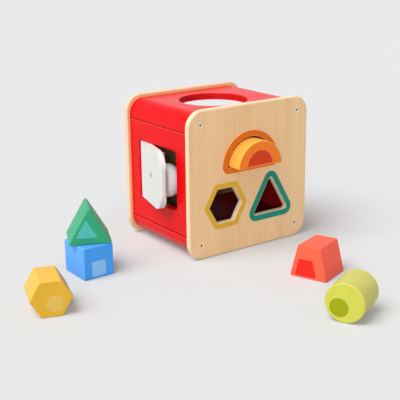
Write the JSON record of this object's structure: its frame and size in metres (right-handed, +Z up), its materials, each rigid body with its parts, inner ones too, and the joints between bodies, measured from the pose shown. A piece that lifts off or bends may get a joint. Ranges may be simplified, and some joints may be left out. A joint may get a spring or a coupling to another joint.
{
  "type": "shape sorter",
  "caption": "Wooden sorting box with shape holes front and back, a mirror in the top, a hinged side door and loose matching blocks.",
  "frame": {"origin": "on the floor, at the middle of the front panel's flat bottom edge", "axes": "+Z up, -Y out of the front panel, -X out of the side with the door, +X towards the plain side"},
  "size_m": [0.3332, 0.323, 0.15],
  "materials": {
    "panel_wood": "clear-lacquered pale wood with a fine vertical grain",
    "red_paint": "glossy red paint on wood",
    "mirror": "polished",
    "screw_steel": "plated steel",
    "pin_steel": "drawn steel wire",
    "white_paint": "satin white paint on wood",
    "orange_paint": "satin orange paint on wood",
    "yellow_paint": "satin yellow paint on wood",
    "green_paint": "satin green paint on wood",
    "blue_paint": "satin blue paint on wood",
    "coral_paint": "satin coral red paint on wood",
    "lime_paint": "satin lime paint on wood"
  },
  "bodies": {
    "box": {"front_panel": "panel_wood", "back_panel": "panel_wood", "top_board": "red_paint", "bottom_board": "red_paint", "left_side_board": "red_paint", "right_side_board": "red_paint", "mirror_disc": "mirror", "front_panel_screws": "screw_steel", "back_panel_screws": "screw_steel", "upper_hinge_pin": "pin_steel", "lower_hinge_pin": "pin_steel"},
    "door": {"door_panel": "white_paint", "door_knob": "white_paint", "door_knob_screw": "screw_steel"},
    "half_round": {"half_round_block": "orange_paint"},
    "square": {"square_block": "blue_paint"},
    "triangle": {"triangle_block": "green_paint"},
    "hexagon": {"hexagon_block": "yellow_paint"},
    "trapezoid": {"trapezoid_block": "coral_paint"},
    "cylinder": {"cylinder_block": "lime_paint"}
  },
  "joints": [
    {"name": "door_hinge", "type": "hinge", "parent": "box", "child": "door", "pos_m": [-0.0679, 0.0872, 0.0758], "axis": [0, 0, -1], "range_deg": [-15, 80]},
    {"name": "half_round_slide", "type": "slide", "parent": "box", "child": "half_round", "axis": [0, -1, 0], "range_m": [-0.0155, 0.045]},
    {"name": "square_lift", "type": "slide", "parent": "box", "child": "square", "axis": [0, 0, 1], "range_m": [0, 0.05]},
    {"name": "triangle_lift", "type": "slide", "parent": "square", "child": "triangle", "axis": [0, 0, 1], "range_m": [0, 0.05]},
    {"name": "hexagon_lift", "type": "slide", "parent": "box", "child": "hexagon", "axis": [0, 0, 1], "range_m": [0, 0.05]},
    {"name": "trapezoid_lift", "type": "slide", "parent": "box", "child": "trapezoid", "axis": [0, 0, 1], "range_m": [0, 0.05]},
    {"name": "cylinder_lift", "type": "slide", "parent": "box", "child": "cylinder", "axis": [0, 0, 1], "range_m": [0, 0.05]}
  ]
}
